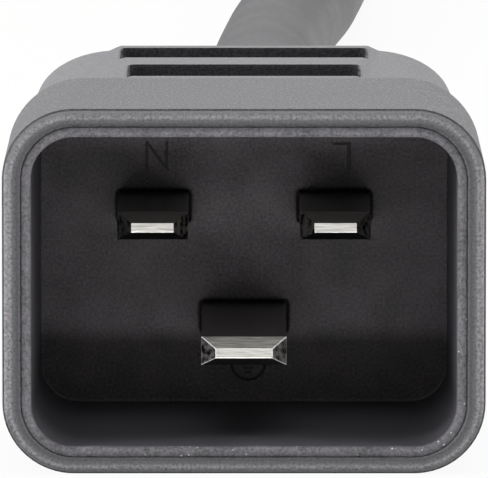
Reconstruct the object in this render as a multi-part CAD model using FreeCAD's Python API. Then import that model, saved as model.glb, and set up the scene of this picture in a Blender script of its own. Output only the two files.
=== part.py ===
"""Moulded rack power cord: a recessed three-blade plug, its cord and a socket connector.

Millimetres. +Z is up and the plug's open front faces -Y. The origin is under the
middle of the plug, on the surface that the whole cord set lies on.
"""
import FreeCAD, Part
import math
import os

Vector = FreeCAD.Vector
FORWARD = Vector(0, 1, 0)

# ---- what plug and connector share -------------------------------------------------
pitch = 13.0              # between the line and neutral blades
row_spacing = 8.0         # from the line and neutral row down to the earth blade
row_drop = 0.38           # how far the middle of the rows lies under the moulding's axis
blade_thickness = 2.0
line_blade_width = 5.0    # neutral is the same
earth_blade_width = 6.0

cord_diameter = 9.6
core_diameter = 3.4       # insulation of one core
wire_diameter = 2.1       # stranded copper in one core
core_lay_radius = 2.0     # from the cord's axis to each core's axis
core_lay_angle = 30.0     # degrees that the line and neutral cores lie above the middle
core_lead_in = 3.2        # straight insulation before a core bends towards the cord
core_lead_out = 3.0       # and after it, up to the jacket
jacket_grip = 23.5        # how far the cord's jacket reaches into a moulding

barrel_diameter = 3.6     # crimp barrel
barrel_length = 6.5
barrel_base = 0.6         # solid end of the barrel
strip_gap = 0.8           # bare wire between barrel and insulation
tail_width = 3.4          # flat between a blade or a contact and its barrel
tail_thickness = 1.4

inner_mould_width = 21.5
inner_mould_height = 17.0
inner_mould_corner = 3.0
inner_mould_cover = 4.0   # how far the inner mould runs on past the crimps

grip_step_side = 0.7      # the collar stands proud of the grip by this much
grip_step_top = 0.5
grip_taper = 0.9          # on each side, from the collar to the end of the grip
grip_corner_width = 6.0   # the grip's corners are quarter ellipses
grip_corner_height = 4.0
grip_end_round = 1.0
pad_proud = 0.36          # the finger pads stand proud of the rest of the grip
pad_margin = 0.4          # from the end of each groove to the foot of the pad
pad_slope = 0.8           # the pads rise to their full height over this width
pad_root = 2              # and are rooted in the grip by this many times their height
pad_edge_round = 0.8
groove_depth = 2.0
groove_corner = 0.8
grooves = [(27.1, 7.9, 17.0), (39.9, 6.8, 18.3)]   # start, length along the cord, width
grip_end = 49.3           # from the front of the moulding

relief_length = 22.7
relief_start_radius = 8.7
relief_end_radius = 6.9
relief_end_round = 0.8
relief_slots = 6
relief_slot_width = 1.7
relief_first_slot = 2.6   # from the back of the grip to the first slot
relief_slot_step = 3.2
relief_spine = 5.0        # width left standing between a slot's two halves

# ---- plug --------------------------------------------------------------------------
collar_width = 34.0
collar_height = 25.8
collar_length = 21.5
collar_front_corner = 5.0
collar_rear_corner = 5.5
collar_rear_round = 0.45
rim_step = 0.12           # the rim stands inside the collar's outline by this much
rim_length = 0.6
rim_round = 0.55
seam_round = 0.15

soft_wall_side = 1.3      # soft moulding round the hard insert at the rim
soft_wall_top = 1.2
shell_corner = 3.8
shell_draft = 0.3         # on each side, from the rim to the back of the floor
shell_setback = 0.05      # the insert's edge lies this far inside the rim
shell_lip_round = 0.22

insert_wall_side = 0.725  # the insert's wall at the mouth
insert_wall_top = 0.75
cavity_corner = 3.0
cavity_draft = 0.32       # on each side, from the mouth to the floor
cavity_depth = 21.2
floor_thickness = 2.7

line_recess = 7.9         # from the rim back to the line and neutral tips
earth_recess = 0.5
blade_slot_gap = 0.04     # round each blade, through the floor
slot_relief_gap = 0.22    # round each blade, where the slot opens into the cavity
slot_relief_depth = 0.8
slot_relief_corner = 0.35
tip_length = 1.45         # chamfered end of a blade
tip_side_chamfer = 1.0
tip_face_chamfer = 0.66
shoulder_extra = 0.8      # on each side of the blade
shoulder_length = 1.5
tail_length = 2.6

# ---- connector ---------------------------------------------------------------------
nose_clearance = 0.4      # round the nose in the plug's cavity
nose_corner = 2.4
nose_end_clearance = 0.6  # between the nose's end and the plug's cavity floor
nose_round = 0.5
flange_step_side = 0.7    # the flange stands proud of the grip by this much
flange_step_top = 0.6
flange_length = 5.0
sleeve_wall = 1.6         # soft sleeve round the nose
carrier_corner = 1.4
carrier_behind_nose = 3.4 # the carrier runs on past the nose into the flange
carrier_front_wall = 1.8
socket_gap_wide = 0.45    # each side of a blade in its slot
socket_gap_thick = 0.35
chamber_side_room = 0.8   # each side of a contact
chamber_height = 4.2
leaf_thickness = 0.45
leaf_mouth = 1.5          # half gap between the leaves at the mouth and the back
leaf_throat = 0.95        # half gap where the leaves grip the blade
leaf_start = 2.4
leaf_throat_at = 6.0
leaf_wide_at = 12.0
contact_extra_width = 0.6
contact_tail_length = 4.0

# ---- lay of the cord ---------------------------------------------------------------
hank_centre_y = 402.0
hank_loop_offset = 56.0   # from the hank's middle to the middle of each end loop
hank_loop_radius = 37.0
hank_height = 19.7
hank_waist_width = 22.0
hank_waist_length = 50.0
tie_thickness = 1.2
tie_length = 14.0
tie_corner = 1.0
tie_top_gap = 0.8         # from the waist's top up to the height of the loops
tail_overlap = 8.0        # how far the tail's first point lies inside the hank
tail_level_at = 10.0      # from the hank to where the tail is level with the connector
tail_rise = 0.3           # gap between the tail and the strand that it lies on
connector_gap = 17.0      # from the hank's far end to the connector's strain relief

overlap = 2.0             # how far two bodies that become one run into each other
past = 1.0                # how far a cut runs past the face that it opens
tolerance = 1e-6

# ---- worked out from the above -----------------------------------------------------
plug_length = grip_end + relief_length
front_y = -plug_length / 2
grip_height = collar_height - 2 * grip_step_top
grip_front_width = collar_width - 2 * grip_step_side
grip_rear_width = grip_front_width - 2 * grip_taper
shell_width = collar_width - 2 * soft_wall_side       # outside of the insert at the rim
shell_height = collar_height - 2 * soft_wall_top
cavity_width = shell_width - 2 * insert_wall_side     # at the mouth
cavity_height = shell_height - 2 * insert_wall_top
flange_width = grip_front_width + 2 * flange_step_side
flange_height = grip_height + 2 * flange_step_top
floor_back = cavity_depth + floor_thickness
shoulder_end = floor_back + shoulder_length
plug_barrel_start = shoulder_end + tail_length
nose_length = cavity_depth - nose_end_clearance
carrier_length = nose_length + carrier_behind_nose
connector_barrel_start = carrier_length + contact_tail_length
plug_axis_z = collar_height / 2
connector_axis_z = flange_height / 2
cord_radius = cord_diameter / 2
jacket_start = plug_length - jacket_grip
hank_far_y = hank_centre_y + hank_loop_offset + hank_loop_radius
connector_front_y = hank_far_y + connector_gap + plug_length
upper_row = row_spacing / 2 - row_drop
lower_row = -row_spacing / 2 - row_drop
poles = {
    "line": (pitch / 2, upper_row, line_blade_width, line_recess),
    "neutral": (-pitch / 2, upper_row, line_blade_width, line_recess),
    "earth": (0.0, lower_row, earth_blade_width, earth_recess),
}
core_seat_x = core_lay_radius * math.cos(math.radians(core_lay_angle))
core_seat_z = core_lay_radius * math.sin(math.radians(core_lay_angle))
core_seats = {
    "line": (core_seat_x, core_seat_z),
    "neutral": (-core_seat_x, core_seat_z),
    "earth": (0.0, -core_lay_radius),
}

# The cord's route where it isn't folded. The last point of the lead and the first
# of the tail lie inside the hank, whose face trims the tubes. The tail comes down off
# the strand that it lies on to the connector's axis.
tail_start_z = cord_radius + cord_diameter + tail_rise
lead_route = [
    (0.0, front_y + jacket_start, plug_axis_z),
    (0.0, 64.0, plug_axis_z),
    (0.6, 116.0, cord_radius),
    (1.1, 168.0, cord_radius),
    (3.2, 218.0, cord_radius),
    (7.6, 266.0, cord_radius),
    (9.0, 314.0, cord_radius),
]
tail_route = [
    (0.0, hank_far_y - tail_overlap, tail_start_z),
    (0.0, hank_far_y + tail_level_at, connector_axis_z),
    (0.0, connector_front_y - jacket_start, connector_axis_z),
]


# ---- shapes ------------------------------------------------------------------------
def corner_arc(centre, across, up):
    """A quarter ellipse round centre, between centre + across and centre + up."""
    if abs(across.Length - up.Length) < tolerance:
        middle = centre + (across + up) * math.sqrt(0.5)
        return Part.Arc(centre + across, middle, centre + up).toShape()
    far, near = (across, up) if across.Length > up.Length else (up, across)
    ellipse = Part.Ellipse(centre + far, centre + near, centre)
    start, end = ellipse.parameter(centre + across), ellipse.parameter(centre + up)
    if (end - start) % (2 * math.pi) > math.pi:
        start = end
    return Part.ArcOfEllipse(ellipse, start, start + math.pi / 2).toShape()


def cornered_outline(width, height, corner_width, corner_height, y):
    """A closed outline in the plane y, with quarter-ellipse corners, round the axis."""
    x, z = width / 2 - corner_width, height / 2 - corner_height
    sides = [(1, 1), (-1, 1), (-1, -1), (1, -1)]
    edges = []
    for (sx, sz), (next_sx, next_sz) in zip(sides, sides[1:] + sides[:1]):
        centre, next_centre = Vector(sx * x, y, sz * z), Vector(next_sx * x, y, next_sz * z)
        across, up = Vector(sx * corner_width, 0, 0), Vector(0, 0, sz * corner_height)
        edges.append(corner_arc(centre, across, up))
        reach = up if sz == next_sz else across
        edges.append(Part.makeLine(centre + reach, next_centre + reach))
    return Part.Wire(edges)


def rounded_outline(width, height, radius, y):
    return cornered_outline(width, height, radius, radius, y)


def block(width, height, radius, start, end):
    """A rounded bar round the axis from start to end, in distances behind the front."""
    face = Part.Face(rounded_outline(width, height, radius, start))
    return face.extrude(FORWARD * (end - start))


def drafted(front, back):
    """A bar whose section changes evenly. Each end is (width, height, radius, y)."""
    wires = [rounded_outline(*front), rounded_outline(*back)]
    return Part.makeLoft(wires, True, True)


def bar(width, thickness, start, end, x=0.0, z=0.0):
    """A square-edged bar along the axis, centred on x and z."""
    corner = Vector(x - width / 2, start, z - thickness / 2)
    return Part.makeBox(width, end - start, thickness, corner)


def rod(radius, start, end, x=0.0, z=0.0):
    return Part.makeCylinder(radius, end - start, Vector(x, start, z), FORWARD)


def edges_at(shape, y):
    """The edges that lie in the plane y."""
    return [edge for edge in shape.Edges
            if abs(edge.BoundBox.YMin - y) < tolerance
            and abs(edge.BoundBox.YMax - y) < tolerance]


def joined(shapes):
    return shapes[0].multiFuse(shapes[1:]).removeSplitter()


def rounded_path(points):
    """Straight runs joined by tangent arcs, each as large as its two runs allow."""
    places = [Vector(*point) for point in points]
    edges, radii = [], []
    at = places[0]
    for before, corner, after in zip(places, places[1:], places[2:]):
        back, ahead = before - corner, after - corner
        turn = math.pi - back.getAngle(ahead)
        reach = 0.45 * min(back.Length, ahead.Length)
        radius = reach / math.tan(turn / 2)
        radii.append(radius)
        back.normalize()
        ahead.normalize()
        start, end = corner + back * reach, corner + ahead * reach
        inward = (back + ahead).normalize()
        centre = corner + inward * (radius / math.cos(turn / 2))
        middle = centre - inward * radius
        edges.append(Part.LineSegment(at, start).toShape())
        edges.append(Part.Arc(start, middle, end).toShape())
        at = end
    edges.append(Part.LineSegment(at, places[-1]).toShape())
    return Part.Wire(edges), radii


def tube_along(points, radius):
    path, radii = rounded_path(points)
    start = Vector(*points[0])
    direction = (Vector(*points[1]) - start).normalize()
    section = Part.Wire(Part.makeCircle(radius, start, direction))
    return path.makePipeShell([section], True, False), path.Length, radii


# ---- pieces that plug and connector share, on the axis, front at y = 0 --------------
def finger_pads(start):
    """The pads above and below as one bar, which widens with the grooves in it."""
    outlines = []
    (first_at, _, first_width), (second_at, _, second_width) = grooves
    widening = (second_width - first_width) / (second_at - first_at)
    top = grip_height / 2
    sunk = top - (1 + pad_root) * pad_proud
    for y in (start, grip_end):
        foot = (first_width + widening * (y - first_at)) / 2 + pad_margin
        inner, outer = foot - pad_slope, foot + pad_root * pad_slope
        corners = [(inner, top), (outer, sunk), (outer, -sunk), (inner, -top)]
        corners += [(-x, -z) for x, z in corners]
        outlines.append(Part.makePolygon(
            [Vector(x, y, z) for x, z in corners + corners[:1]]))
    body = Part.makeLoft(outlines, True, True)
    along = [edge for edge in body.Edges if abs(edge.tangentAt(0).y) > 0.9
             and abs(edge.CenterOfMass.z) > top - pad_proud]
    body = body.makeFillet(pad_edge_round, along)
    return body.makeFillet(grip_end_round, edges_at(body, grip_end))


def grip_body(start):
    """The finger grip: it narrows to the back and has two grooved pads."""
    height = grip_height - 2 * pad_proud
    front = cornered_outline(
        grip_front_width, height, grip_corner_width, grip_corner_height, start)
    back = cornered_outline(
        grip_rear_width, height, grip_corner_width, grip_corner_height, grip_end)
    body = Part.makeLoft([front, back], True, True)
    body = body.makeFillet(grip_end_round, edges_at(body, grip_end))
    body = joined([body, finger_pads(start)])
    cuts = []
    for groove_start, length, width in grooves:
        for side in (1, -1):
            box = bar(width, 2 * groove_depth, groove_start, groove_start + length,
                      z=side * grip_height / 2)
            upright = [e for e in box.Edges if abs(e.tangentAt(0).z) > 0.9]
            cuts.append(box.makeFillet(groove_corner, upright))
    return body.cut(Part.makeCompound(cuts))


def strain_relief():
    """A tapered sleeve whose slots alternate between the sides and top and bottom."""
    end = grip_end + relief_length
    cone = Part.makeCone(
        relief_start_radius, relief_end_radius, relief_length,
        Vector(0, grip_end, 0), FORWARD)
    cone = cone.makeFillet(relief_end_round, edges_at(cone, end))
    reach = 2 * relief_start_radius
    cuts = []
    for number in range(relief_slots):
        start = grip_end + relief_first_slot + number * relief_slot_step
        slot = bar(reach, reach, start, start + relief_slot_width)
        if number % 2 == 0:
            spine = bar(relief_spine, reach, start, start + relief_slot_width)
        else:
            spine = bar(reach, relief_spine, start, start + relief_slot_width)
        core = rod(cord_radius, start, start + relief_slot_width)
        cuts.append(slot.cut(spine).cut(core))
    return cone.cut(Part.makeCompound(cuts))


def crimp(x, z, start):
    """A crimp barrel, closed at the end that sits on its flat tail."""
    barrel = rod(barrel_diameter / 2, start, start + barrel_length, x, z)
    bore = rod(wire_diameter / 2, start + barrel_base, start + barrel_length, x, z)
    return barrel.cut(bore)


def core_pair(name, side, barrel_start):
    """The insulation and the copper of one core, from the crimp to the cord's jacket."""
    x, z, _, _ = poles[name]
    seat_x, seat_z = core_seats[name]
    x, seat_x = side * x, side * seat_x
    bare_end = barrel_start + barrel_length + strip_gap
    points = [
        (x, bare_end, z),
        (x, bare_end + core_lead_in, z),
        (seat_x, jacket_start - core_lead_out, seat_z),
        (seat_x, jacket_start, seat_z),
    ]
    sleeve, _, _ = tube_along(points, core_diameter / 2)
    inner, _, _ = tube_along(points, wire_diameter / 2)
    straight = rod(wire_diameter / 2, barrel_start + barrel_base, bare_end, x, z)
    return sleeve.cut(inner), joined([straight, inner])


def inner_mould(start, barrel_start):
    """The first moulding over the crimps, before they are cut from it."""
    end = barrel_start + barrel_length + inner_mould_cover
    return block(inner_mould_width, inner_mould_height, inner_mould_corner, start, end)


# ---- plug --------------------------------------------------------------------------
def blade(name):
    """A flat blade with a chamfered tip, and its shoulder, tail and crimp barrel."""
    x, z, width, recess = poles[name]
    face_width = width - 2 * tip_side_chamfer
    face_thickness = blade_thickness - 2 * tip_face_chamfer
    sections = []
    for y, wide, thick in [(recess, face_width, face_thickness),
                           (recess + tip_length, width, blade_thickness)]:
        corners = [Vector(x + a * wide / 2, y, z + b * thick / 2)
                   for a, b in [(1, 1), (-1, 1), (-1, -1), (1, -1), (1, 1)]]
        sections.append(Part.makePolygon(corners))
    tip = Part.makeLoft(sections, True, True)
    shank = bar(width, blade_thickness, recess + tip_length, floor_back, x, z)
    shoulder = bar(width + 2 * shoulder_extra, blade_thickness + 2 * shoulder_extra,
                   floor_back, shoulder_end, x, z)
    tail = bar(tail_width, tail_thickness, shoulder_end, plug_barrel_start, x, z)
    return joined([tip, shank, shoulder, tail, crimp(x, z, plug_barrel_start)])


def plug_insert_bodies():
    """The insert's outer body and the cavity that is cut from it."""
    shell = drafted(
        (shell_width, shell_height, shell_corner, shell_setback),
        (shell_width - 2 * shell_draft, shell_height - 2 * shell_draft,
         shell_corner - shell_draft, floor_back))
    cavity = drafted(
        (cavity_width, cavity_height, cavity_corner, shell_setback),
        (cavity_width - 2 * cavity_draft, cavity_height - 2 * cavity_draft,
         cavity_corner - cavity_draft, cavity_depth))
    return shell, cavity


def plug_insert(shell, cavity):
    """The carrier, with a slot for each blade that is relieved where it opens."""
    slots = []
    for x, z, width, _ in poles.values():
        relief = bar(width + 2 * slot_relief_gap, blade_thickness + 2 * slot_relief_gap,
                     cavity_depth - past, cavity_depth + slot_relief_depth, x, z)
        along = [edge for edge in relief.Edges if abs(edge.tangentAt(0).y) > 0.9]
        slots.append(relief.makeFillet(slot_relief_corner, along))
        slots.append(bar(width + 2 * blade_slot_gap, blade_thickness + 2 * blade_slot_gap,
                         cavity_depth, floor_back + past, x, z))
    insert = shell.cut(cavity)
    insert = insert.makeFillet(shell_lip_round, edges_at(insert, shell_setback))
    return insert.cut(joined(slots))


def collar_body():
    """The collar, whose long corners open out a little towards the back."""
    body = bar(collar_width, collar_height, rim_length, collar_length)
    along = [edge for edge in body.Edges if abs(edge.tangentAt(0).y) > 0.9]
    body = body.makeFillet(collar_front_corner, collar_rear_corner, along)
    return body.makeFillet(collar_rear_round, edges_at(body, collar_length))


def plug_outside():
    """The rim, collar, grip and strain relief as one body, not yet hollow."""
    rim = block(collar_width - 2 * rim_step, collar_height - 2 * rim_step,
                collar_front_corner - rim_step, 0, rim_length + overlap)
    rim = rim.makeFillet(rim_round, edges_at(rim, 0))
    grip = grip_body(collar_length - overlap)
    return joined([rim, collar_body(), grip, strain_relief()])


def plug_pieces():
    shell, cavity = plug_insert_bodies()
    pieces = {"plug_insert": plug_insert(shell, cavity)}
    for name in poles:
        pieces["plug_" + name + "_pin"] = blade(name)
        sleeve, wire = core_pair(name, 1, plug_barrel_start)
        pieces["plug_" + name + "_core"] = sleeve
        pieces["plug_" + name + "_wire"] = wire
    inside = Part.makeCompound(
        [piece for name, piece in pieces.items() if name != "plug_insert"])
    mould = inner_mould(floor_back, plug_barrel_start)
    pieces["plug_inner_mould"] = mould.cut(inside)

    opening = block(shell_width, shell_height, shell_corner, -past, shell_setback)
    bore = rod(cord_radius, jacket_start, plug_length + past)
    hollow = joined([opening, shell, mould, bore])
    overmould = plug_outside().cut(hollow).cut(inside)
    seam = [edge for edge in edges_at(overmould, 0)
            if edge.BoundBox.ZMax < shell_height / 2 + tolerance
            and edge.BoundBox.XMax < shell_width / 2 + tolerance]
    pieces["plug_overmould"] = overmould.makeFillet(seam_round, seam)
    return pieces


# ---- connector ---------------------------------------------------------------------
def contact(name):
    """A folded socket contact: two sprung leaves, a back web, a tail and a barrel."""
    x, z, width, _ = poles[name]
    x = -x
    wide = width + contact_extra_width
    line = [(leaf_start, leaf_mouth), (leaf_throat_at, leaf_throat),
            (leaf_wide_at, leaf_mouth), (carrier_length, leaf_mouth)]
    outline = [Vector(x - wide / 2, y, z + half) for y, half in line]
    outline += [Vector(x - wide / 2, y, z + half + leaf_thickness)
                for y, half in reversed(line)]
    leaf = Part.Face(Part.makePolygon(outline + outline[:1])).extrude(Vector(wide, 0, 0))
    other = leaf.mirror(Vector(x, 0, z), Vector(0, 0, 1))
    web = bar(wide, 2 * (leaf_mouth + leaf_thickness),
              carrier_length - leaf_thickness, carrier_length, x, z)
    tail = bar(tail_width, tail_thickness, carrier_length, connector_barrel_start, x, z)
    return joined([leaf, other, web, tail, crimp(x, z, connector_barrel_start)])


def connector_pieces():
    nose_width = cavity_width - 2 * cavity_draft - 2 * nose_clearance
    nose_height = cavity_height - 2 * cavity_draft - 2 * nose_clearance
    carrier_width = nose_width - 2 * sleeve_wall
    carrier_height = nose_height - 2 * sleeve_wall
    pieces = {}

    carrier = block(carrier_width, carrier_height, carrier_corner, 0, carrier_length)
    cuts = []
    for x, z, width, _ in poles.values():
        cuts.append(bar(width + 2 * socket_gap_wide, blade_thickness + 2 * socket_gap_thick,
                        -past, carrier_front_wall + past, -x, z))
        cuts.append(bar(width + contact_extra_width + 2 * chamber_side_room,
                        chamber_height, carrier_front_wall, carrier_length + past, -x, z))
    pieces["connector_insert"] = carrier.cut(joined(cuts))

    for name in poles:
        pieces["connector_" + name + "_contact"] = contact(name)
        sleeve, wire = core_pair(name, -1, connector_barrel_start)
        pieces["connector_" + name + "_core"] = sleeve
        pieces["connector_" + name + "_wire"] = wire
    inside = Part.makeCompound(
        [piece for name, piece in pieces.items() if name != "connector_insert"])
    mould = inner_mould(carrier_length, connector_barrel_start)
    pieces["connector_inner_mould"] = mould.cut(inside)

    nose = block(nose_width, nose_height, nose_corner, 0, nose_length + overlap)
    nose = nose.makeFillet(nose_round, edges_at(nose, 0))
    flange_end = nose_length + flange_length
    flange = block(flange_width, flange_height, collar_rear_corner, nose_length, flange_end)
    flange = flange.makeFillet(
        nose_round, edges_at(flange, nose_length) + edges_at(flange, flange_end))
    grip = grip_body(flange_end - overlap)
    outside = joined([nose, flange, grip, strain_relief()])
    seat = block(carrier_width, carrier_height, carrier_corner, -past, carrier_length)
    bore = rod(cord_radius, jacket_start, plug_length + past)
    hollow = joined([seat, mould, bore])
    pieces["connector_overmould"] = outside.cut(hollow).cut(inside)
    return pieces


# ---- cord --------------------------------------------------------------------------
def cord_pieces():
    loops = []
    for side in (-1, 1):
        centre = Vector(0, hank_centre_y + side * hank_loop_offset, 0)
        loops.append(Part.makeCylinder(hank_loop_radius, hank_height, centre))
    waist_height = hank_height - tie_thickness - tie_top_gap
    waist = Part.makeBox(
        hank_waist_width, hank_waist_length, waist_height,
        Vector(-hank_waist_width / 2, hank_centre_y - hank_waist_length / 2,
               tie_thickness))
    hank = joined(loops + [waist])
    band = Part.makeBox(
        hank_waist_width + 2 * tie_thickness, tie_length,
        waist_height + 2 * tie_thickness,
        Vector(-hank_waist_width / 2 - tie_thickness, hank_centre_y - tie_length / 2, 0))
    along = [edge for edge in band.Edges if abs(edge.tangentAt(0).y) > 0.9]
    band = band.makeFillet(tie_corner, along)

    pieces = {"cord_hank": hank, "hank_tie": band.cut(waist)}
    for name, route in [("cord_lead", lead_route), ("cord_tail", tail_route)]:
        tube, length, radii = tube_along(route, cord_radius)
        expected = math.pi * cord_radius ** 2 * length
        print(name, "length", round(length, 1), "volume against section by length",
              round(tube.Volume / expected, 5), "radii", [round(r) for r in radii])
        pieces[name] = tube.cut(hank)
    return pieces


def main():
    os.makedirs("parts", exist_ok=True)
    pieces = cord_pieces()
    plug_place = FreeCAD.Placement(Vector(0, front_y, plug_axis_z), FreeCAD.Rotation())
    connector_place = FreeCAD.Placement(
        Vector(0, connector_front_y, connector_axis_z),
        FreeCAD.Rotation(Vector(0, 0, 1), 180))
    for name, piece in plug_pieces().items():
        piece.Placement = plug_place.multiply(piece.Placement)
        pieces[name] = piece
    for name, piece in connector_pieces().items():
        piece.Placement = connector_place.multiply(piece.Placement)
        pieces[name] = piece
    for name, piece in sorted(pieces.items()):
        solids = piece.Solids
        print(name, "solids", len(solids), "valid", piece.isValid(),
              "volume", round(piece.Volume, 1))
        shape = solids[0] if len(solids) == 1 else Part.makeCompound(solids)
        shape.exportStep("parts/" + name + ".step")


main()
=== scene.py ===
import math
import bpy
from mathutils import Euler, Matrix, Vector


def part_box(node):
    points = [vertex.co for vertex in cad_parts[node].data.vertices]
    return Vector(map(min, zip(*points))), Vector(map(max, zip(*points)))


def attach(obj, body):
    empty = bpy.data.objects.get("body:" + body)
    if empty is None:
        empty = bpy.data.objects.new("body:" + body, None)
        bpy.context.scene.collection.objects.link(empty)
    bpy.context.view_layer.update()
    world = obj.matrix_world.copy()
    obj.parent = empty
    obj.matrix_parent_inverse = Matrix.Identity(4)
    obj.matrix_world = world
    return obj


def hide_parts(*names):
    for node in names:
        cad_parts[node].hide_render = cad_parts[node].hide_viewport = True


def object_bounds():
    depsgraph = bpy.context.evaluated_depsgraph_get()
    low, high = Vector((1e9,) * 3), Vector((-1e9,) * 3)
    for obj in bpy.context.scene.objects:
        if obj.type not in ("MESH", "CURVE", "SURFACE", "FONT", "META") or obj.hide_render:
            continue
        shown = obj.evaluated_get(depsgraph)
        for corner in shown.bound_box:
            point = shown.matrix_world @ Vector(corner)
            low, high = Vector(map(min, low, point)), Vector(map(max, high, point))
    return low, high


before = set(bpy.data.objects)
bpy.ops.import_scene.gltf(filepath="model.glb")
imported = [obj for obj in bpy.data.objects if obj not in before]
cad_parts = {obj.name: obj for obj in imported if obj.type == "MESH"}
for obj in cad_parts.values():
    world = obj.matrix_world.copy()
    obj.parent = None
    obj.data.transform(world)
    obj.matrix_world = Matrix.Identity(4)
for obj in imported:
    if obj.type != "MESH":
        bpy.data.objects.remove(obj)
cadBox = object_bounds()
print("frame loaded with", len(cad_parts), "nodes")

mm = 0.001
poleNames = ["line", "neutral", "earth"]
plugLow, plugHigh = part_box("plug_overmould")
plugAxis = (plugLow.z + plugHigh.z) / 2
hankLow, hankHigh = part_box("cord_hank")
hankMiddle = (hankLow.y + hankHigh.y) / 2


def selectNone():
    bpy.ops.object.select_all(action="DESELECT")


def selectOnly(piece):
    selectNone()
    piece.select_set(True)
    bpy.context.view_layer.objects.active = piece


def joinParts(parts):
    selectNone()
    for part in parts:
        part.select_set(True)
    bpy.context.view_layer.objects.active = parts[0]
    bpy.ops.object.join()


def takeNew(name, material):
    # the primitive that was just added, with its place moved into its mesh
    piece = bpy.context.object
    piece.name = name
    piece.data.name = name
    selectOnly(piece)
    bpy.ops.object.transform_apply(location=True, rotation=True, scale=True)
    piece.data.materials.clear()
    piece.data.materials.append(material)
    return piece


def pickFaces(piece, wanted):
    # leaves the piece in edit mode, with only the wanted faces selected
    selectOnly(piece)
    bpy.ops.object.mode_set(mode="EDIT")
    bpy.ops.mesh.select_mode(type="FACE")
    bpy.ops.mesh.select_all(action="DESELECT")
    bpy.ops.object.mode_set(mode="OBJECT")
    for face in piece.data.polygons:
        face.select = wanted(face)
    bpy.ops.object.mode_set(mode="EDIT")


def finishEdges(piece, settings):
    # rounds the sharp edges, applies every modifier and shades the rest smooth
    edge = piece.modifiers.new("edge", "BEVEL")
    edge.width = settings["edge"] * mm
    edge.segments = 2
    edge.limit_method = "ANGLE"
    edge.angle_limit = math.radians(settings["edgeAngle"])
    selectOnly(piece)
    for modifier in list(piece.modifiers):
        bpy.ops.object.modifier_apply(modifier=modifier.name)
    bpy.ops.object.shade_smooth_by_angle(angle=math.radians(settings["smoothAngle"]))


def linearColour(code):
    # an sRGB hex colour as linear red, green, blue and alpha
    parts = [int(code[i:i + 2], 16) / 255 for i in (0, 2, 4)]
    return [p / 12.92 if p <= 0.04045 else ((p + 0.055) / 1.055) ** 2.4 for p in parts] + [1.0]


def addNode(tree, kind, inputs=(), stops=(), **settings):
    # inputs go by name or in order: a plain value, a socket, or a node for its first live output;
    # stops are the places and the colours along a colour ramp
    node = tree.nodes.new(kind)
    for key, value in settings.items():
        setattr(node, key, value)
    pairs = inputs.items() if isinstance(inputs, dict) else enumerate(inputs)
    for key, value in pairs:
        if isinstance(value, bpy.types.Node):
            value = next(socket for socket in value.outputs if socket.enabled)
        if isinstance(value, bpy.types.NodeSocket):
            tree.links.new(value, node.inputs[key])
        else:
            node.inputs[key].default_value = value
    stops = list(stops)
    for _ in stops[2:]:
        node.color_ramp.elements.new(0.5)
    for index, (position, _) in enumerate(stops):
        node.color_ramp.elements[index].position = position
    for index, (_, code) in enumerate(stops):
        node.color_ramp.elements[index].color = linearColour(code)
    return node


def newMaterial(name):
    # the material, its node tree and the place that its patterns follow
    material = bpy.data.materials.new(name)
    material.use_nodes = True
    tree = material.node_tree
    tree.nodes.clear()
    place = addNode(tree, "ShaderNodeTexCoord").outputs["Object"]
    return material, tree, place


def behindFront(tree, place):
    # how far a point lies behind the plug's open front
    split = addNode(tree, "ShaderNodeSeparateXYZ", [place])
    return addNode(tree, "ShaderNodeMath", [split.outputs["Y"], plugLow.y], operation="SUBTRACT")


def grooveWallShade(tree, place, depth, hollow):
    # 1 on the end walls of the finger grooves, where shade is painted into the colour and the
    # surface is made matt
    split = addNode(tree, "ShaderNodeSeparateXYZ", [place])
    up = addNode(tree, "ShaderNodeMath", [split.outputs["Z"], plugAxis], operation="SUBTRACT")
    middle = (hollow["from"] + hollow["to"]) / 2
    back = addNode(tree, "ShaderNodeMath", [depth, middle], operation="SUBTRACT")
    inside = 1.0
    for value, half in [(split.outputs["X"], hollow["halfWidth"]), (up, hollow["halfHeight"]),
                        (back, middle - hollow["from"])]:
        reach = addNode(tree, "ShaderNodeMath", [value], operation="ABSOLUTE")
        within = addNode(tree, "ShaderNodeMath", [reach, half], operation="LESS_THAN")
        inside = addNode(tree, "ShaderNodeMath", [within, inside], operation="MULTIPLY")
    geometry = addNode(tree, "ShaderNodeNewGeometry")
    normal = addNode(tree, "ShaderNodeSeparateXYZ", [geometry.outputs["Normal"]])
    facing = addNode(tree, "ShaderNodeMath", [normal.outputs["Y"]], operation="ABSOLUTE")
    walls = addNode(tree, "ShaderNodeMapRange", [facing, *hollow["wallFacing"]],
                    interpolation_type="SMOOTHSTEP")
    return addNode(tree, "ShaderNodeMath", [walls, inside], operation="MULTIPLY")


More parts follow.
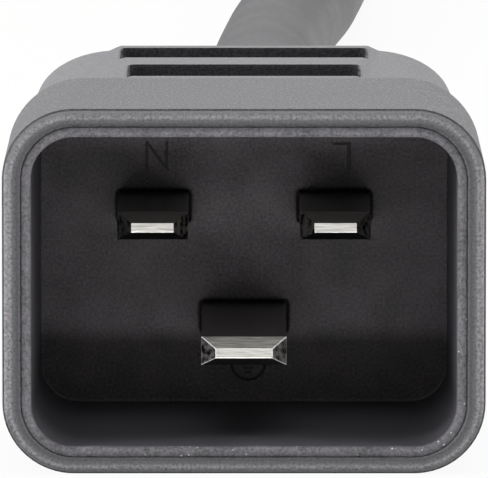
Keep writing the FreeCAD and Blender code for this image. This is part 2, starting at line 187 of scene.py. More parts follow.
def paintedRimLight(tree, place, rim):
    # painted highlight and shade that follow a node's rounded outline inwards, over the bead or
    # over the lip inside it
    low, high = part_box(rim["node"])
    middle, half = (low + high) / 2, (high - low) / 2
    inner = (half.x - rim["corner"], half.y, half.z - rim["corner"])
    centred = addNode(tree, "ShaderNodeVectorMath", [place, middle], operation="SUBTRACT")
    mirrored = addNode(tree, "ShaderNodeVectorMath", [centred], operation="ABSOLUTE")
    past = addNode(tree, "ShaderNodeVectorMath", [mirrored, inner], operation="SUBTRACT")
    beyond = addNode(tree, "ShaderNodeVectorMath", [past, (0, 0, 0)], operation="MAXIMUM")
    reach = addNode(tree, "ShaderNodeVectorMath", [beyond], operation="LENGTH")
    inwards = addNode(tree, "ShaderNodeMapRange",
                      [reach, rim["corner"], rim["corner"] - rim["span"]])
    colour = addNode(tree, "ShaderNodeValToRGB", [inwards],
                     [(distance * mm / rim["span"], code) for distance, code in rim["tones"]])
    colour.color_ramp.interpolation = "EASE"
    if "flank" in rim:
        # a painted highlight on the left and right flanks
        split = addNode(tree, "ShaderNodeSeparateXYZ", [mirrored])
        flank = addNode(tree, "ShaderNodeMapRange",
                        [split.outputs["X"], half.x - rim["flankWidth"], half.x],
                        interpolation_type="SMOOTHSTEP")
        colour = addNode(tree, "ShaderNodeMix",
                         {0: flank, 6: colour, 7: linearColour(rim["flank"])}, data_type="RGBA")
    return colour


def flashSpecks(tree, place, depth, specks):
    # pale crumbs of flash inside the lip, along its right and lower sides
    cells = addNode(tree, "ShaderNodeTexVoronoi", {"Vector": place, "Scale": 1 / specks["spacing"]})
    radius = specks["radius"] / specks["spacing"]
    dots = addNode(tree, "ShaderNodeMapRange", [cells, specks["blur"] * radius, radius],
                   interpolation_type="SMOOTHSTEP")
    lip = addNode(tree, "ShaderNodeMapRange", [depth, specks["from"], specks["to"]],
                  interpolation_type="SMOOTHSTEP")
    low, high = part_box("plug_insert")
    middle, half = (low + high) / 2, (high - low) / 2
    centred = addNode(tree, "ShaderNodeVectorMath", [place, middle], operation="SUBTRACT")
    corner = addNode(tree, "ShaderNodeVectorMath", [centred, (1 / half.x, 0, -1 / half.z)],
                     operation="DOT_PRODUCT")
    side = addNode(tree, "ShaderNodeMapRange", [corner, *specks["cornerward"]],
                   interpolation_type="SMOOTHSTEP")
    near = addNode(tree, "ShaderNodeMath", [lip, side], operation="MULTIPLY")
    return addNode(tree, "ShaderNodeMath", [near, dots], operation="MULTIPLY")


# how every moulded plastic's grit is drawn, and how its grain dims the painted highlight and shade
# on the rim
gritSettings = {"detail": 2.0, "harshness": 0.6, "patchDetail": 3.0, "swing": (0.35, 0.65),
                "rimGrain": ("9c9c9c", "ffffff"), "rimBlur": 0.8, "edgeSamples": 8}


def mouldedPlastic(name, look):
    # any moulded plastic here: grit from the mould's surface, and a slow unevenness
    material, tree, place = newMaterial(name)
    drawn = addNode(tree, "ShaderNodeMapping",
                    {"Vector": place, "Scale": (1.0, look["drawn"], 1.0)})
    grit = addNode(tree, "ShaderNodeTexNoise",
                   {"Vector": drawn, "Scale": 1 / look["gritSize"],
                    "Detail": gritSettings["detail"], "Roughness": gritSettings["harshness"]})
    slow = addNode(tree, "ShaderNodeTexNoise",
                   {"Vector": place, "Scale": 1 / look["patchSize"],
                    "Detail": gritSettings["patchDetail"]})
    pattern = addNode(tree, "ShaderNodeMapRange",
                      {"Value": look["patchShare"], "To Min": grit, "To Max": slow})
    swing = gritSettings["swing"]
    colour = addNode(tree, "ShaderNodeValToRGB", [pattern], zip(swing, look["colours"]))
    depth = behindFront(tree, place)
    # each zone brings in paler colours by depth behind the front: painted light
    for zone in look["zones"]:
        other = addNode(tree, "ShaderNodeValToRGB", [pattern], zip(swing, zone["colours"]))
        share = addNode(tree, "ShaderNodeMapRange", [depth, zone["from"], zone["to"]],
                        interpolation_type="SMOOTHSTEP")
        colour = addNode(tree, "ShaderNodeMix", {0: share, 6: colour, 7: other}, data_type="RGBA")
    # painted highlight and shade along the rim, broken up by the grain
    rim = look.get("rim")
    if rim:
        grain = addNode(tree, "ShaderNodeValToRGB", [pattern], zip(swing, gritSettings["rimGrain"]))
        toned = addNode(tree, "ShaderNodeMix", {0: 1.0, 6: paintedRimLight(tree, place, rim), 7: grain},
                        data_type="RGBA", blend_type="MULTIPLY")
        share = addNode(tree, "ShaderNodeMapRange",
                        [depth, rim["depth"], gritSettings["rimBlur"] * rim["depth"]],
                        interpolation_type="SMOOTHSTEP")
        colour = addNode(tree, "ShaderNodeMix", {0: share, 6: colour, 7: toned}, data_type="RGBA")
    specks = look.get("specks")
    if specks:
        colour = addNode(tree, "ShaderNodeMix",
                         {0: flashSpecks(tree, place, depth, specks), 6: colour,
                          7: linearColour(specks["colour"])}, data_type="RGBA")
    rough = addNode(tree, "ShaderNodeMapRange", [pattern, *swing, *look["roughness"]])
    # painted shade on the walls of the finger grooves, which are also made fully rough
    hollow = look.get("hollow")
    if hollow:
        ends = grooveWallShade(tree, place, depth, hollow)
        grooveShade = addNode(tree, "ShaderNodeValToRGB", [pattern], zip(swing, hollow["colours"]))
        colour = addNode(tree, "ShaderNodeMix", {0: ends, 6: colour, 7: grooveShade}, data_type="RGBA")
        rough = addNode(tree, "ShaderNodeMapRange",
                        {"Value": ends, "To Min": rough, "To Max": hollow["roughness"]})
    bump = addNode(tree, "ShaderNodeBump",
                   {"Height": grit, "Strength": look["bumpStrength"],
                    "Distance": look["gritDepth"]})
    if "edge" in look:
        rounded = addNode(tree, "ShaderNodeBevel", {"Radius": look["edge"]},
                          samples=gritSettings["edgeSamples"])
        tree.links.new(rounded.outputs["Normal"], bump.inputs["Normal"])
    shader = addNode(tree, "ShaderNodeBsdfPrincipled",
                     {"Base Color": colour, "Roughness": rough, "Normal": bump,
                      "IOR": look["ior"], "Specular IOR Level": look["gloss"]})
    addNode(tree, "ShaderNodeOutputMaterial", [shader])
    return material


# the bead and the lip carry a painted highlight along their crests, with painted shade at the outer
# edge and in the seam;
# each tone has its distance in from the outline, in millimetres, and the flank colour is a painted
# highlight on the sides
beadRim = {"node": "plug_overmould", "corner": 5.0 * mm, "span": 1.4 * mm, "depth": 0.6 * mm,
           "tones": [(0.0, "464548"), (0.25, "605f63"), (0.55, "8c8a8f"), (0.8, "5e5d61"),
                     (1.05, "48474a"), (1.25, "605f63")],
           "flank": "a09ea2", "flankWidth": 0.6 * mm}
lipRim = {"node": "plug_insert", "corner": 3.75 * mm, "span": 1.4 * mm, "depth": 0.6 * mm,
          "tones": [(0.0, "646368"), (0.25, "6e6d72"), (0.5, "7e7c81")]}
# soft PVC from a spark-eroded mould: a fine sparkle, with painted highlight and shade on the rim
# and a paler tone of painted light on the grip; the grit is drawn out along the cord, or it would
# be too fine to see where the view grazes it;
# a zone's colours come in between two depths behind the plug's front
sparkErodedPvc = {"colours": ("242226", "605e63"), "gritSize": 0.2 * mm, "drawn": 0.4,
                  "patchSize": 6 * mm, "patchShare": 0.1, "gritDepth": 0.11 * mm,
                  "bumpStrength": 0.8, "roughness": (0.3, 0.75), "ior": 1.53, "gloss": 0.5,
                  "edge": 0.45 * mm, "rim": beadRim,
                  # behind the collar the grip is coloured paler: painted light
                  "zones": [{"from": 21.45 * mm, "to": 21.55 * mm,
                             "colours": ("363438", "7c7a7e")}],
                  # the hollow's colours are painted shade on the groove walls
                  "hollow": {"halfWidth": 9.35 * mm, "halfHeight": 12.6 * mm, "from": 26.0 * mm,
                             "to": 47.5 * mm, "wallFacing": (0.4, 0.7),
                             "colours": ("020204", "323136"), "roughness": 1.0}}
# PBT from a smoother mould: painted shade keeps it dark deep in the well, and painted light makes
# it paler towards its mouth
satinPbt = {"colours": ("232124", "5a5559"), "gritSize": 0.2 * mm, "drawn": 1.0,
            "patchSize": 3 * mm, "patchShare": 0.35, "gritDepth": 0.03 * mm,
            "bumpStrength": 0.6, "roughness": (0.34, 0.44), "ior": 1.5, "gloss": 0.15,
            "edge": 0.35 * mm, "rim": lipRim,
            # the walls in front of the well's floor, and more so near the mouth, are coloured
            # paler: painted light
            "zones": [{"from": 20.9 * mm, "to": 20.3 * mm, "colours": ("403f44", "565559")},
                      {"from": 8.0 * mm, "to": 1.0 * mm, "colours": ("4a494e", "646267")}],
            "specks": {"spacing": 0.6 * mm, "radius": 0.045 * mm, "blur": 1.6,
                       "from": 1.6 * mm, "to": 0.9 * mm, "cornerward": (0.4, 0.8),
                       "colour": "c8c8cc"}}
# the same plastic where the mould was engraved and polished, its strokes coloured darker as painted
# shade on a dull floor
polishedShadedPbt = dict(satinPbt, colours=("0a0a0b", "121213"), bumpStrength=0.1,
                   roughness=(0.12, 0.18), zones=[], specks=None, rim=None, edge=0.03 * mm)
# black polyethylene of the first moulding: dull, so the slots round the blades stay dark
dullPolyethylene = {"colours": ("161617", "222223"), "gritSize": 0.4 * mm, "drawn": 1.0,
                    "patchSize": 5 * mm, "patchShare": 0.5, "gritDepth": 0.02 * mm,
                    "bumpStrength": 0.4, "roughness": (0.55, 0.7), "ior": 1.51, "gloss": 0.3,
                    "zones": []}
# extruded PVC jacket: nearly smooth, with the faint orange peel of the die
extrudedPvc = {"colours": ("28272a", "38373b"), "gritSize": 0.5 * mm, "drawn": 1.0,
               "patchSize": 9 * mm, "patchShare": 0.5, "gritDepth": 0.02 * mm,
               "bumpStrength": 0.25, "roughness": (0.4, 0.52), "ior": 1.53, "gloss": 0.5,
               "zones": []}
# the cores' insulation is the same PVC in brown, blue, and green with yellow
coreColours = {"line": ("4a2414", "5e3019"), "neutral": ("1d4a9c", "2a5cb4"),
               "earth": ("5d8f1e", "c9c92e")}

# nickel on stamped brass: the cut ends mirror the light, the ground chamfers are brushed
nickelSettings = {
    "cutEnd": ("b2b0aa", "e2e0dc"), "brushed": ("767470", "dad7d1"), "shank": ("7e7c77", "9a9893"),
    "scuffed": ("141312", "b4b2ad"), "mitreHighlight": "ffffff", "mitreHighlightMetallic": 0.0,
    "lineWidth": 0.07 * mm, "lineDrawn": 0.05, "lineDetail": 3.0, "lineSwing": (0.3, 0.7),
    "lineStrength": 0.25, "lineDepth": 0.01 * mm,
    "scuffSize": 0.45 * mm, "scuffDetail": 3.0, "scuffSwing": (0.38, 0.58),
    "edge": 0.1 * mm, "edgeSamples": 8,
    "shankRoughness": 0.25, "groundRoughness": (0.2, 0.55), "cutEndRoughness": 0.07,
    "chamferFacing": (0.1, 0.2), "cutEndFacing": (0.8, 0.9), "flankFacing": (0.2, 0.3),
    "groundRise": (-0.9, 0.9), "mitreHighlightRise": (-0.6, 0.2), "mitreHighlightBend": (0.995, 0.965),
    "wellShadeDepth": (4 * mm, 6 * mm),
}


def nickelPlate(look):
    material, tree, place = newMaterial("brightNickelPlate")
    across = addNode(tree, "ShaderNodeMapping",
                     {"Vector": place, "Scale": (look["lineDrawn"], 1.0, 1.0)})
    lines = addNode(tree, "ShaderNodeTexNoise",
                    {"Vector": across, "Scale": 1 / look["lineWidth"],
                     "Detail": look["lineDetail"]})
    geometry = addNode(tree, "ShaderNodeNewGeometry")
    normal = addNode(tree, "ShaderNodeSeparateXYZ", [geometry.outputs["True Normal"]])
    facing = addNode(tree, "ShaderNodeMath", [normal.outputs["Y"]], operation="ABSOLUTE")
    chamfer = addNode(tree, "ShaderNodeMapRange", [facing, *look["chamferFacing"]],
                      interpolation_type="SMOOTHSTEP")
    cutEnd = addNode(tree, "ShaderNodeMapRange", [facing, *look["cutEndFacing"]],
                     interpolation_type="SMOOTHSTEP")
    ground = addNode(tree, "ShaderNodeMapRange",
                     [normal.outputs["Z"], *look["groundRise"], *look["groundRoughness"]])
    tip = addNode(tree, "ShaderNodeMapRange",
                  {"Value": chamfer, "To Min": look["shankRoughness"], "To Max": ground})
    rough = addNode(tree, "ShaderNodeMapRange",
                    {"Value": cutEnd, "To Min": tip, "To Max": look["cutEndRoughness"]})

    tones = {key: addNode(tree, "ShaderNodeValToRGB", [lines], zip(look["lineSwing"], look[key]))
             for key in ("cutEnd", "brushed", "shank")}
    # painted shade: the chamfers of the two short blades, deeper in the well, take the darker shank
    # tones and get no painted highlight
    wellShade = addNode(tree, "ShaderNodeMapRange", [behindFront(tree, place), *look["wellShadeDepth"]],
                    interpolation_type="SMOOTHSTEP")
    brushed = addNode(tree, "ShaderNodeMix", {0: wellShade, 6: tones["brushed"], 7: tones["shank"]},
                      data_type="RGBA")
    sides = addNode(tree, "ShaderNodeMix", {0: chamfer, 6: tones["shank"], 7: brushed},
                    data_type="RGBA")
    colour = addNode(tree, "ShaderNodeMix", {0: cutEnd, 6: sides, 7: tones["cutEnd"]},
                     data_type="RGBA")

    # the two side facets are scuffed in patches
    patches = addNode(tree, "ShaderNodeTexNoise",
                      {"Vector": place, "Scale": 1 / look["scuffSize"],
                       "Detail": look["scuffDetail"]})
    scuffed = addNode(tree, "ShaderNodeValToRGB", [patches],
                      zip(look["scuffSwing"], look["scuffed"]))
    sideways = addNode(tree, "ShaderNodeMath", [normal.outputs["X"]], operation="ABSOLUTE")
    facet = addNode(tree, "ShaderNodeMapRange", [sideways, *look["flankFacing"]],
                    interpolation_type="SMOOTHSTEP")
    flank = addNode(tree, "ShaderNodeMath", [facet, chamfer], operation="MULTIPLY")
    colour = addNode(tree, "ShaderNodeMix", {0: flank, 6: colour, 7: scuffed}, data_type="RGBA")

    # a painted highlight: a white, non-metallic line along the mitre between two chamfers, on their
    # upper side
    rounded = addNode(tree, "ShaderNodeBevel", {"Radius": look["edge"]},
                      samples=look["edgeSamples"])
    alike = addNode(tree, "ShaderNodeVectorMath", [rounded, geometry.outputs["True Normal"]],
                    operation="DOT_PRODUCT")
    edge = addNode(tree, "ShaderNodeMapRange", [alike, *look["mitreHighlightBend"]],
                   interpolation_type="SMOOTHSTEP")
    above = addNode(tree, "ShaderNodeMapRange", [normal.outputs["Z"], *look["mitreHighlightRise"]],
                    interpolation_type="SMOOTHSTEP")
    nearChamfer = addNode(tree, "ShaderNodeMath", [chamfer, wellShade], operation="SUBTRACT",
                     use_clamp=True)
    upper = addNode(tree, "ShaderNodeMath", [above, nearChamfer], operation="MULTIPLY")
    mitreHighlight = addNode(tree, "ShaderNodeMath", [edge, upper], operation="MULTIPLY")
    colour = addNode(tree, "ShaderNodeMix", {0: mitreHighlight, 6: colour, 7: linearColour(look["mitreHighlight"])},
                     data_type="RGBA")
    metallic = addNode(tree, "ShaderNodeMapRange",
                       {"Value": mitreHighlight, "To Min": 1.0, "To Max": look["mitreHighlightMetallic"]})

    bump = addNode(tree, "ShaderNodeBump",
                   {"Height": lines, "Strength": look["lineStrength"],
                    "Distance": look["lineDepth"], "Normal": rounded})
    shader = addNode(tree, "ShaderNodeBsdfPrincipled",
                     {"Base Color": colour, "Metallic": metallic, "Roughness": rough,
                      "Normal": bump})
    addNode(tree, "ShaderNodeOutputMaterial", [shader])
    return material


# springy brass, rolled to a soft shine, and bare copper strands: both show lines along the cord
sprungBrass = {"colours": ("b8924a", "d9b76c"), "strand": 0.2 * mm, "roughness": 0.3}
strandedCopper = {"colours": ("a8613c", "d08a5e"), "strand": 0.25 * mm, "roughness": 0.35}
strandSettings = {"drawn": 0.05, "detail": 2.0, "swing": (0.3, 0.7), "strength": 0.4,
                  "depthShare": 0.25}


def plainMetal(name, look):
    material, tree, place = newMaterial(name)
    along = addNode(tree, "ShaderNodeMapping",
                    {"Vector": place, "Scale": (1.0, strandSettings["drawn"], 1.0)})
    lines = addNode(tree, "ShaderNodeTexNoise",
                    {"Vector": along, "Scale": 1 / look["strand"],
                     "Detail": strandSettings["detail"]})
    colour = addNode(tree, "ShaderNodeValToRGB", [lines],
                     zip(strandSettings["swing"], look["colours"]))
    bump = addNode(tree, "ShaderNodeBump",
                   {"Height": lines, "Strength": strandSettings["strength"],
                    "Distance": strandSettings["depthShare"] * look["strand"]})
    shader = addNode(tree, "ShaderNodeBsdfPrincipled",
                     {"Base Color": colour, "Metallic": 1.0, "Roughness": look["roughness"],
                      "Normal": bump})
    addNode(tree, "ShaderNodeOutputMaterial", [shader])
    return material


# loop side of a hook-and-loop strap: a dull weave with a little fuzz at its edges
nylonSettings = {"colours": ("3a3a3f", "1c1c1e"), "thread": 0.45 * mm, "swing": (0.1, 0.7),
                 "strength": 0.8, "depth": 0.15 * mm, "roughness": 0.9, "fuzz": 0.4,
                 "fuzzRoughness": 0.5}


def wovenNylon(look):
    material, tree, place = newMaterial("wovenNylon")
    weave = addNode(tree, "ShaderNodeTexVoronoi", {"Vector": place, "Scale": 1 / look["thread"]})
    colour = addNode(tree, "ShaderNodeValToRGB", [weave], zip(look["swing"], look["colours"]))
    bump = addNode(tree, "ShaderNodeBump",
                   {"Height": weave, "Strength": look["strength"], "Distance": look["depth"]})
    shader = addNode(tree, "ShaderNodeBsdfPrincipled",
                     {"Base Color": colour, "Roughness": look["roughness"], "Normal": bump,
                      "Sheen Weight": look["fuzz"], "Sheen Roughness": look["fuzzRoughness"]})
    addNode(tree, "ShaderNodeOutputMaterial", [shader])
    return material


overmouldMaterial = mouldedPlastic("sparkErodedPvc", sparkErodedPvc)
insertMaterial = mouldedPlastic("satinPbt", satinPbt)
markMaterial = mouldedPlastic("polishedShadedPbt", polishedShadedPbt)
innerMaterial = mouldedPlastic("dullPolyethylene", dullPolyethylene)
jacketMaterial = mouldedPlastic("extrudedPvc", extrudedPvc)
bladeMaterial = nickelPlate(nickelSettings)
contactMaterial = plainMetal("sprungBrass", sprungBrass)
copperMaterial = plainMetal("strandedCopper", strandedCopper)
coreMaterials = {}
for pole, colours in coreColours.items():
    coreMaterials[pole] = mouldedPlastic(pole + "CorePvc", dict(extrudedPvc, colours=colours))
print("materials made")


def dress(node, material):
    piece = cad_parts[node]
    piece.data.materials.clear()
    piece.data.materials.append(material)


for end in ("plug", "connector"):
    dress(end + "_overmould", overmouldMaterial)
    dress(end + "_insert", insertMaterial)
    dress(end + "_inner_mould", innerMaterial)
    for pole in poleNames:
        dress(end + "_" + pole + "_core", coreMaterials[pole])
        dress(end + "_" + pole + "_wire", copperMaterial)
for pole in poleNames:
    dress("plug_" + pole + "_pin", bladeMaterial)
    dress("connector_" + pole + "_contact", contactMaterial)
print("carried-over nodes dressed")


# raised marks on the floor of the plug's well, in millimetres and degrees
markSettings = {
    "proud": 0.1, "sunk": 0.04, "stroke": 0.15, "thinner": 0.03, "floorDepth": 21.2,
    "letters": {"N": {"at": (-6.27, 7.17), "size": (1.6, 2.0), "turned": 0},
                "L": {"at": (7.14, 7.35), "size": (1.3, 1.95), "turned": 180}},
    "earth": {"at": (0.3, -7.8), "ring": 1.2, "ringSteps": 56, "tubeSteps": 10, "stem": 0.75,
              "bars": [(0.0, 1.3), (-0.32, 0.85), (-0.64, 0.4)],
              "edge": 0.03, "edgeAngle": 60, "smoothAngle": 40},
}


def markPlace(at):
    floorY = plugLow.y + markSettings["floorDepth"] * mm
    return Vector((at[0] * mm, floorY, plugAxis + at[1] * mm))


def makeLetter(letter, look):
    depth = (markSettings["proud"] + markSettings["sunk"]) * mm
    middle = markPlace(look["at"]) + Vector((0, markSettings["sunk"] * mm - depth / 2, 0))
    selectNone()
    bpy.ops.object.text_add(location=middle,
                            rotation=(math.pi / 2, math.radians(look["turned"]), 0))
    text = bpy.context.object
    text.data.body = letter
    text.data.align_x, text.data.align_y = "CENTER", "CENTER"
    text.data.size = look["size"][1] * mm
    text.data.extrude = depth / 2
    text.data.offset = -markSettings["thinner"] * mm
    bpy.context.view_layer.update()
    bpy.ops.object.convert(target="MESH")
    mark = bpy.context.object
    mark.dimensions = (look["size"][0] * mm, look["size"][1] * mm, depth)
    mark = takeNew("mark_" + letter, markMaterial)
    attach(mark, "root")


def makeEarthMark(look):
    stroke = markSettings["stroke"]
    middle = markPlace(look["at"])
    selectNone()
    bpy.ops.mesh.primitive_torus_add(
        location=middle, rotation=(math.pi / 2, 0, 0), major_radius=look["ring"] * mm,
        minor_radius=markSettings["proud"] * mm, major_segments=look["ringSteps"],
        minor_segments=look["tubeSteps"])
    parts = [bpy.context.object]
    strokes = [(look["stem"] / 2, stroke, look["stem"])]
    strokes += [(rise, width, stroke) for rise, width in look["bars"]]
    for rise, width, height in strokes:
        selectNone()
        bpy.ops.mesh.primitive_cube_add(size=1, location=middle + Vector((0, 0, rise * mm)))
        bar = bpy.context.object
        bar.dimensions = (width * mm, 2 * markSettings["proud"] * mm, height * mm)
        parts.append(bar)
    joinParts(parts)
    mark = takeNew("mark_earth", markMaterial)
    finishEdges(mark, look)
    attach(mark, "root")


for letter, look in markSettings["letters"].items():
    makeLetter(letter, look)
makeEarthMark(markSettings["earth"])
print("marks raised")


# the cord, in millimetres: the lead's points are (x, y) on the surface, and the hank's are
# (x, y from the middle of the hank, lift off the surface)
cordSettings = {
    "diameter": 9.6, "length": 0.99, "stepsPerSpan": 24, "ringSteps": 8,
    # straight out of the strain relief, then down to the surface and back towards the hank
    "straight": [12.5, 64.0],
    "lead": [(0.6, 116.0), (1.1, 168.0), (2.9, 218.0), (7.6, 266.0)],
    # under the near loop and through the waist
    "waistOut": [(8.0, -89, 0.0), (7.5, -56, 0.0), (12.8, -28, 0.4), (5.1, 0, 1.3),
                 (7.3, 15, 0.6), (14.0, 26, 0.0)],
    "waistBack": [(-14.0, 26, 0.0), (-7.3, 15, 0.6), (-5.1, 0, 1.3), (-7.3, -15, 0.6),
                  (-14.0, -26, 0.0)],
    # over the top of both strands and off to the connector
    "over": [(15.4, -26, 9.9), (8.8, -19.7, 10.4), (-4.5, 6, 9.7), (2.6, 36, 9.7),
             (0.4, 66, 9.7), (0.0, 85, 9.9), (0.0, 103, 8.2), (0.0, 133.5, 8.2)],
    "loopRadius": 33.4, "loopOffset": 56.5, "loopOverlap": 34.2,
    "farLoopLift": [0.0, 0.0, 0.0, 0.0, 0.0, 0.0, 0.0, 0.0, 0.0],
    "nearLoopLift": [0.0, 0.0, 1.1, 5.6, 9.5, 10.0, 10.0, 8.6, 9.5],
}


def loopPoints(offset, fromDegrees, lifts):
    # one end loop of the hank, open towards the hank's waist
    radius, overlap = cordSettings["loopRadius"], cordSettings["loopOverlap"]
    start, turn = fromDegrees - overlap, 180 + 2 * overlap
    points = []
    for step, lift in enumerate(lifts):
        angle = math.radians(start + turn * step / (len(lifts) - 1))
        points.append((radius * math.cos(angle), offset + radius * math.sin(angle), lift))
    return points


def cordRoute():
    look = cordSettings
    low, middle = look["diameter"] / 2, hankMiddle / mm
    points = [(0.0, y, plugAxis / mm) for y in look["straight"]]
    points += [(x, y, low) for x, y in look["lead"]]
    hank = look["waistOut"] + loopPoints(look["loopOffset"], 0, look["farLoopLift"])
    hank += look["waistBack"] + loopPoints(-look["loopOffset"], 180, look["nearLoopLift"])
    hank += look["over"]
    points += [(x, middle + y, low + lift) for x, y, lift in hank]
    return points


# the strap that ties the hank at its waist, in millimetres and degrees; strands are the middles
# of the cord's strands in it, and lapFacing is how far right and up the lapped faces look
tieSettings = {"width": 14.0, "thickness": 1.1, "lapGap": 0.1, "strandSides": 28,
               "strands": [(5.3, 6.0), (-5.3, 6.0), (-1.6, 14.6)], "endFacing": 0.9,
               "lapFacing": (-0.1, -0.2), "edge": 0.25, "edgeAngle": 50, "smoothAngle": 35}


def makeTie(look):
    parts = []
    for x, z in look["strands"]:
        selectNone()
        bpy.ops.mesh.primitive_cylinder_add(
            vertices=look["strandSides"], radius=cordSettings["diameter"] / 2 * mm,
            depth=look["width"] * mm, location=(x * mm, hankMiddle, z * mm),
            rotation=(math.pi / 2, 0, 0))
        parts.append(bpy.context.object)
    joinParts(parts)
    tie = takeNew("hank_strap", wovenNylon(nylonSettings))
    bpy.ops.object.mode_set(mode="EDIT")
    bpy.ops.mesh.select_all(action="SELECT")
    bpy.ops.mesh.convex_hull()
    bpy.ops.object.mode_set(mode="OBJECT")
    pickFaces(tie, lambda face: abs(face.normal.y) > look["endFacing"])
    bpy.ops.mesh.delete(type="FACE")
    bpy.ops.object.mode_set(mode="OBJECT")
    # the free end laps over the first turn, from the top round the right side
    right, up = look["lapFacing"]
    pickFaces(tie, lambda face: face.normal.x > right and face.normal.z > up)
    bpy.ops.mesh.duplicate()
    bpy.ops.transform.shrink_fatten(value=(look["thickness"] + look["lapGap"]) * mm)
    bpy.ops.object.mode_set(mode="OBJECT")
    wall = tie.modifiers.new("wall", "SOLIDIFY")
    wall.thickness = look["thickness"] * mm
    wall.offset = 1.0
    wall.use_even_offset = True
    finishEdges(tie, look)
    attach(tie, "root")
    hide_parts("hank_tie")
    return tie


def makeCord(tie):
    curve = bpy.data.curves.new("power_cord", "CURVE")
    curve.dimensions = "3D"
    points = cordRoute()
    spline = curve.splines.new("NURBS")
    spline.points.add(len(points) - 1)
    for point, (x, y, z) in zip(spline.points, points):
        point.co = (x * mm, y * mm, z * mm, 1.0)
    spline.order_u = 3
    spline.use_endpoint_u = True
    spline.resolution_u = cordSettings["stepsPerSpan"]
    curve.bevel_depth = cordSettings["diameter"] / 2 * mm
    curve.bevel_resolution = cordSettings["ringSteps"]
    curve.use_fill_caps = True
    cord = bpy.data.objects.new("power_cord", curve)
    bpy.context.scene.collection.objects.link(cord)
    curve.materials.append(jacketMaterial)
    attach(cord, "root")
    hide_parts("cord_lead", "cord_hank", "cord_tail")
    onCord = [tie, "connector_overmould", "connector_insert", "connector_inner_mould"]
    onCord += ["connector_" + p + "_" + k for p in poleNames for k in ("contact", "core", "wire")]
    return cord


cord = makeCord(makeTie(tieSettings))
print("cord laid and tied, with", len(cord.data.splines[0].points), "points")


roomSettings = {"surface": ("eae9e6", "ecebe8"), "surfaceSize": 6.0, "surfaceGlow": 0.92,
                "mottleSize": 25 * mm, "mottleDetail": 2.0, "mottleSwing": (0.3, 0.7),
                "ambient": 0.2}


def seenRays(tree):
    # 1 for what the camera sees, also in a gloss or through glass, and 0 for the light it gives
    ray = addNode(tree, "ShaderNodeLightPath")
    seen = addNode(tree, "ShaderNodeMath",
                   [ray.outputs["Is Camera Ray"], ray.outputs["Is Glossy Ray"]],
                   operation="MAXIMUM")
    return addNode(tree, "ShaderNodeMath", [seen, ray.outputs["Is Transmission Ray"]],
                   operation="MAXIMUM")


def paleSurface(look):
    # matt laminate, nearly white, which keeps the shadows that fall on it
    material, tree, place = newMaterial("paleLaminate")
    mottle = addNode(tree, "ShaderNodeTexNoise",
                     {"Vector": place, "Scale": 1 / look["mottleSize"],
                      "Detail": look["mottleDetail"]})
    colour = addNode(tree, "ShaderNodeValToRGB", [mottle],
                     zip(look["mottleSwing"], look["surface"]))
    matt = addNode(tree, "ShaderNodeBsdfDiffuse", {"Color": colour})
    white = addNode(tree, "ShaderNodeEmission", {"Color": (1, 1, 1, 1), "Strength": 1.0})
    share = addNode(tree, "ShaderNodeMath", [seenRays(tree), look["surfaceGlow"]],
                    operation="MULTIPLY")
    mixed = addNode(tree, "ShaderNodeMixShader", [share, matt, white])
    addNode(tree, "ShaderNodeOutputMaterial", [mixed])
    return material


def makeRoom(look):
    selectNone()
    bpy.ops.mesh.primitive_plane_add(size=look["surfaceSize"], location=(0, 0, cadBox[0].z))
    surface = takeNew("pale_surface", paleSurface(look))
    world = bpy.data.worlds.new("paleRoom")
    bpy.context.scene.world = world
    world.use_nodes = True
    tree = world.node_tree
    tree.nodes.clear()
    strength = addNode(tree, "ShaderNodeMapRange",
                       {"Value": seenRays(tree), "To Min": look["ambient"], "To Max": 1.0})
    sky = addNode(tree, "ShaderNodeBackground", {"Color": (1, 1, 1, 1), "Strength": strength})
    addNode(tree, "ShaderNodeOutputWorld", [sky])
    return surface


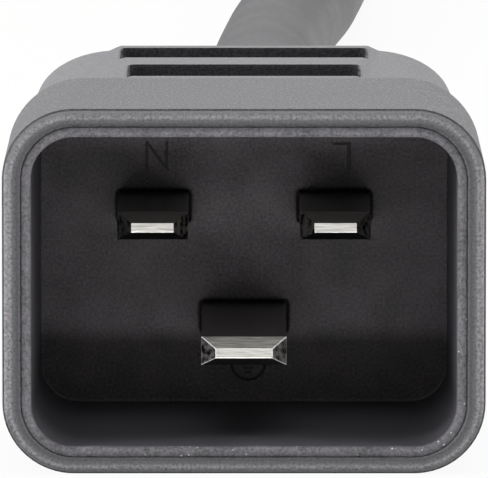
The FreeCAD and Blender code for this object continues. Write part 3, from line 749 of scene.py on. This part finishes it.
# each lamp shines at the plug's mouth from a distance in metres, a height angle and a side
# angle in degrees; its size is across and up, in metres
lampSettings = {
    "overheadSoftbox": {"away": 0.7, "height": 105, "side": 0, "size": (0.9, 0.7), "power": 3.6},
    "frontSoftbox": {"away": 0.8, "height": 55, "side": 0, "size": (0.6, 0.16), "power": 1.2},
    "leftSoftbox": {"away": 0.8, "height": 25, "side": -82, "size": (0.5, 0.5), "power": 5.5},
    "rightSoftbox": {"away": 0.8, "height": 25, "side": 82, "size": (0.5, 0.5), "power": 3.0},
    "underStrip": {"away": 0.5, "height": -15.5, "side": 0, "size": (0.7, 0.03), "power": 0.9},
}
plugMouth = Vector((0, plugLow.y, plugAxis))


def makeLamps(surface):
    for name, look in lampSettings.items():
        height, side = math.radians(look["height"]), math.radians(look["side"])
        towards = Vector((math.sin(side) * math.cos(height),
                          -math.cos(side) * math.cos(height), math.sin(height)))
        selectNone()
        bpy.ops.object.light_add(type="AREA", location=plugMouth + towards * look["away"],
                                 rotation=towards.to_track_quat("Z", "Y").to_euler())
        lamp = bpy.context.object
        lamp.name = name
        lamp.data.shape = "RECTANGLE"
        lamp.data.size, lamp.data.size_y = look["size"]
        lamp.data.energy = look["power"]
        if look["height"] < 0:
            # the table lets this lamp through, as a translucent shooting table does
            table = bpy.data.collections.new("shootingTable")
            table.objects.link(surface)
            lamp.light_linking.blocker_collection = table
            table.collection_objects[0].light_linking.link_state = "EXCLUDE"


# distances, lens and sensor in millimetres, the pitch in degrees and the clip range in metres
cameraSettings = {"distance": 788.0, "pitch": 6.93, "lens": 827.9, "sensor": 36.0,
                  "aimAbove": 3.76, "clip": (0.01, 20.0)}


def makeCamera(look):
    facing = Euler((math.radians(90 - look["pitch"]), 0, 0)).to_matrix()
    ahead, up = -facing.col[2], facing.col[1]
    aim = plugMouth + up * look["aimAbove"] * mm
    selectNone()
    bpy.ops.object.camera_add(location=aim - ahead * look["distance"] * mm,
                              rotation=facing.to_euler())
    camera = bpy.context.object
    camera.name = "frontCamera"
    camera.data.sensor_width = look["sensor"]
    camera.data.lens = look["lens"]
    camera.data.clip_start, camera.data.clip_end = look["clip"]
    bpy.context.scene.camera = camera


makeLamps(makeRoom(roomSettings))
makeCamera(cameraSettings)
bpy.context.scene.view_settings.view_transform = "Standard"
print("room, light and camera set")
